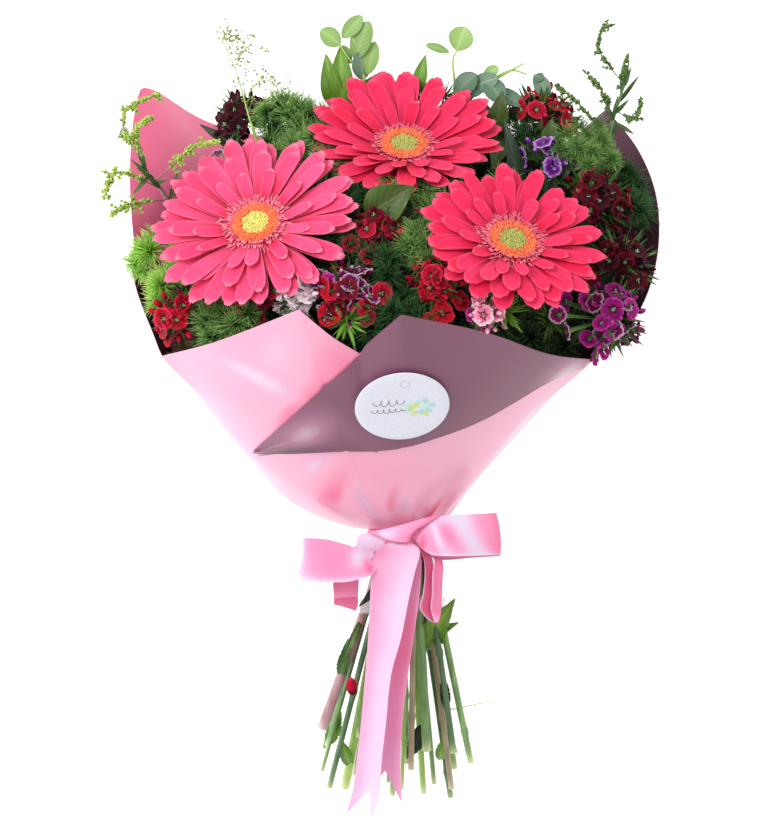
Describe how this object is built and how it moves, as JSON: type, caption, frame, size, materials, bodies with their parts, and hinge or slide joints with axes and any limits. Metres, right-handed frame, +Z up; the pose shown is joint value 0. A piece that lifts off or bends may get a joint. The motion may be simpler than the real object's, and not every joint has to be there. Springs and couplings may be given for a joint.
{
  "type": "mixed flower bouquet",
  "caption": "Hand-tied bouquet of gerberas, sweet williams and greens in a two-tone wrap with a satin bow, lying on its back",
  "frame": {"origin": "on the table under the middle of the bouquet's bounding box", "axes": "+Z up from the table, +Y from the cut stems towards the flower heads, +X the bouquet's right seen from above with the heads up"},
  "size_m": [0.3032, 0.4431, 0.2245],
  "materials": {
    "blush_florets": "velvety petals with pale edges",
    "bright_green_leaf": "bright green leaves",
    "burgundy_florets": "velvety petals",
    "card": "white coated card, printed",
    "clear_tape": "clear film tape",
    "coral_petals": "coral pink petals, velvety",
    "crimson_florets": "velvety petals",
    "dark_fern": "fine dark green needles",
    "darkred_florets": "velvety petals",
    "deep_green_leaf": "dark green leaves",
    "fern": "fine green needles",
    "gerbera_disc": "yellow-green florets",
    "goldenrod": "yellow-green buds on thin branches",
    "green_stem": "fresh green stems",
    "gum_leaf": "waxy blue-green leaves",
    "lime_fern": "fine lime green needles",
    "magenta_florets": "velvety petals with pale edges",
    "pink_sheet": "smooth glossy wrapping film, pink outside and plum inside",
    "plum_florets": "velvety petals with pale edges",
    "plum_sheet": "smooth glossy wrapping film, plum",
    "red_florets": "velvety petals",
    "rose_sheet": "smooth glossy wrapping film, rose pink",
    "satin": "pink satin ribbon",
    "straw_green": "fine grass branches with seeds",
    "violet_florets": "velvety petals with pale edges",
    "white_florets": "velvety petals"
  },
  "bodies": {
    "root": {"wrap_outer": "pink_sheet", "wrap_inner": "rose_sheet", "wrap_folded_front": "plum_sheet", "card": "card", "ribbon": "satin", "binding_tape": "clear_tape", "gerbera_left_petals": "coral_petals", "gerbera_left_disc": "gerbera_disc", "gerbera_left_stem": "green_stem", "gerbera_top_petals": "coral_petals", "gerbera_top_disc": "gerbera_disc", "gerbera_top_stem": "green_stem", "gerbera_right_petals": "coral_petals", "gerbera_right_disc": "gerbera_disc", "gerbera_right_stem": "green_stem", "sweet_william_1_florets": "burgundy_florets", "sweet_william_1_stem": "green_stem", "sweet_william_2_florets": "crimson_florets", "sweet_william_2_stem": "green_stem", "sweet_william_3_florets": "violet_florets", "sweet_william_3_stem": "green_stem", "sweet_william_4_florets": "darkred_florets", "sweet_william_4_stem": "green_stem", "sweet_william_5_florets": "burgundy_florets", "sweet_william_5_stem": "green_stem", "sweet_william_6_florets": "magenta_florets", "sweet_william_6_stem": "green_stem", "sweet_william_7_florets": "red_florets", "sweet_william_7_stem": "green_stem", "sweet_william_8_florets": "plum_florets", "sweet_william_8_stem": "green_stem", "sweet_william_9_florets": "white_florets", "sweet_william_9_stem": "green_stem", "sweet_william_10_florets": "darkred_florets", "sweet_william_10_stem": "green_stem", "sweet_william_11_florets": "blush_florets", "sweet_william_11_stem": "green_stem", "sweet_william_12_florets": "red_florets", "sweet_william_12_stem": "green_stem", "sweet_william_13_florets": "red_florets", "sweet_william_13_stem": "green_stem", "sweet_william_14_florets": "burgundy_florets", "sweet_william_14_stem": "green_stem", "leafy_stem_middle": "deep_green_leaf", "leafy_stem_top": "bright_green_leaf", "leafy_stem_right": "deep_green_leaf", "eucalyptus_left": "gum_leaf", "eucalyptus_right": "gum_leaf", "goldenrod_left": "goldenrod", "goldenrod_right": "goldenrod", "panicum_grass": "straw_green", "fern_1": "fern", "fern_2": "lime_fern", "fern_3": "fern", "fern_4": "dark_fern", "fern_5": "fern", "fern_6": "dark_fern", "fern_7": "dark_fern"}
  },
  "joints": []
}
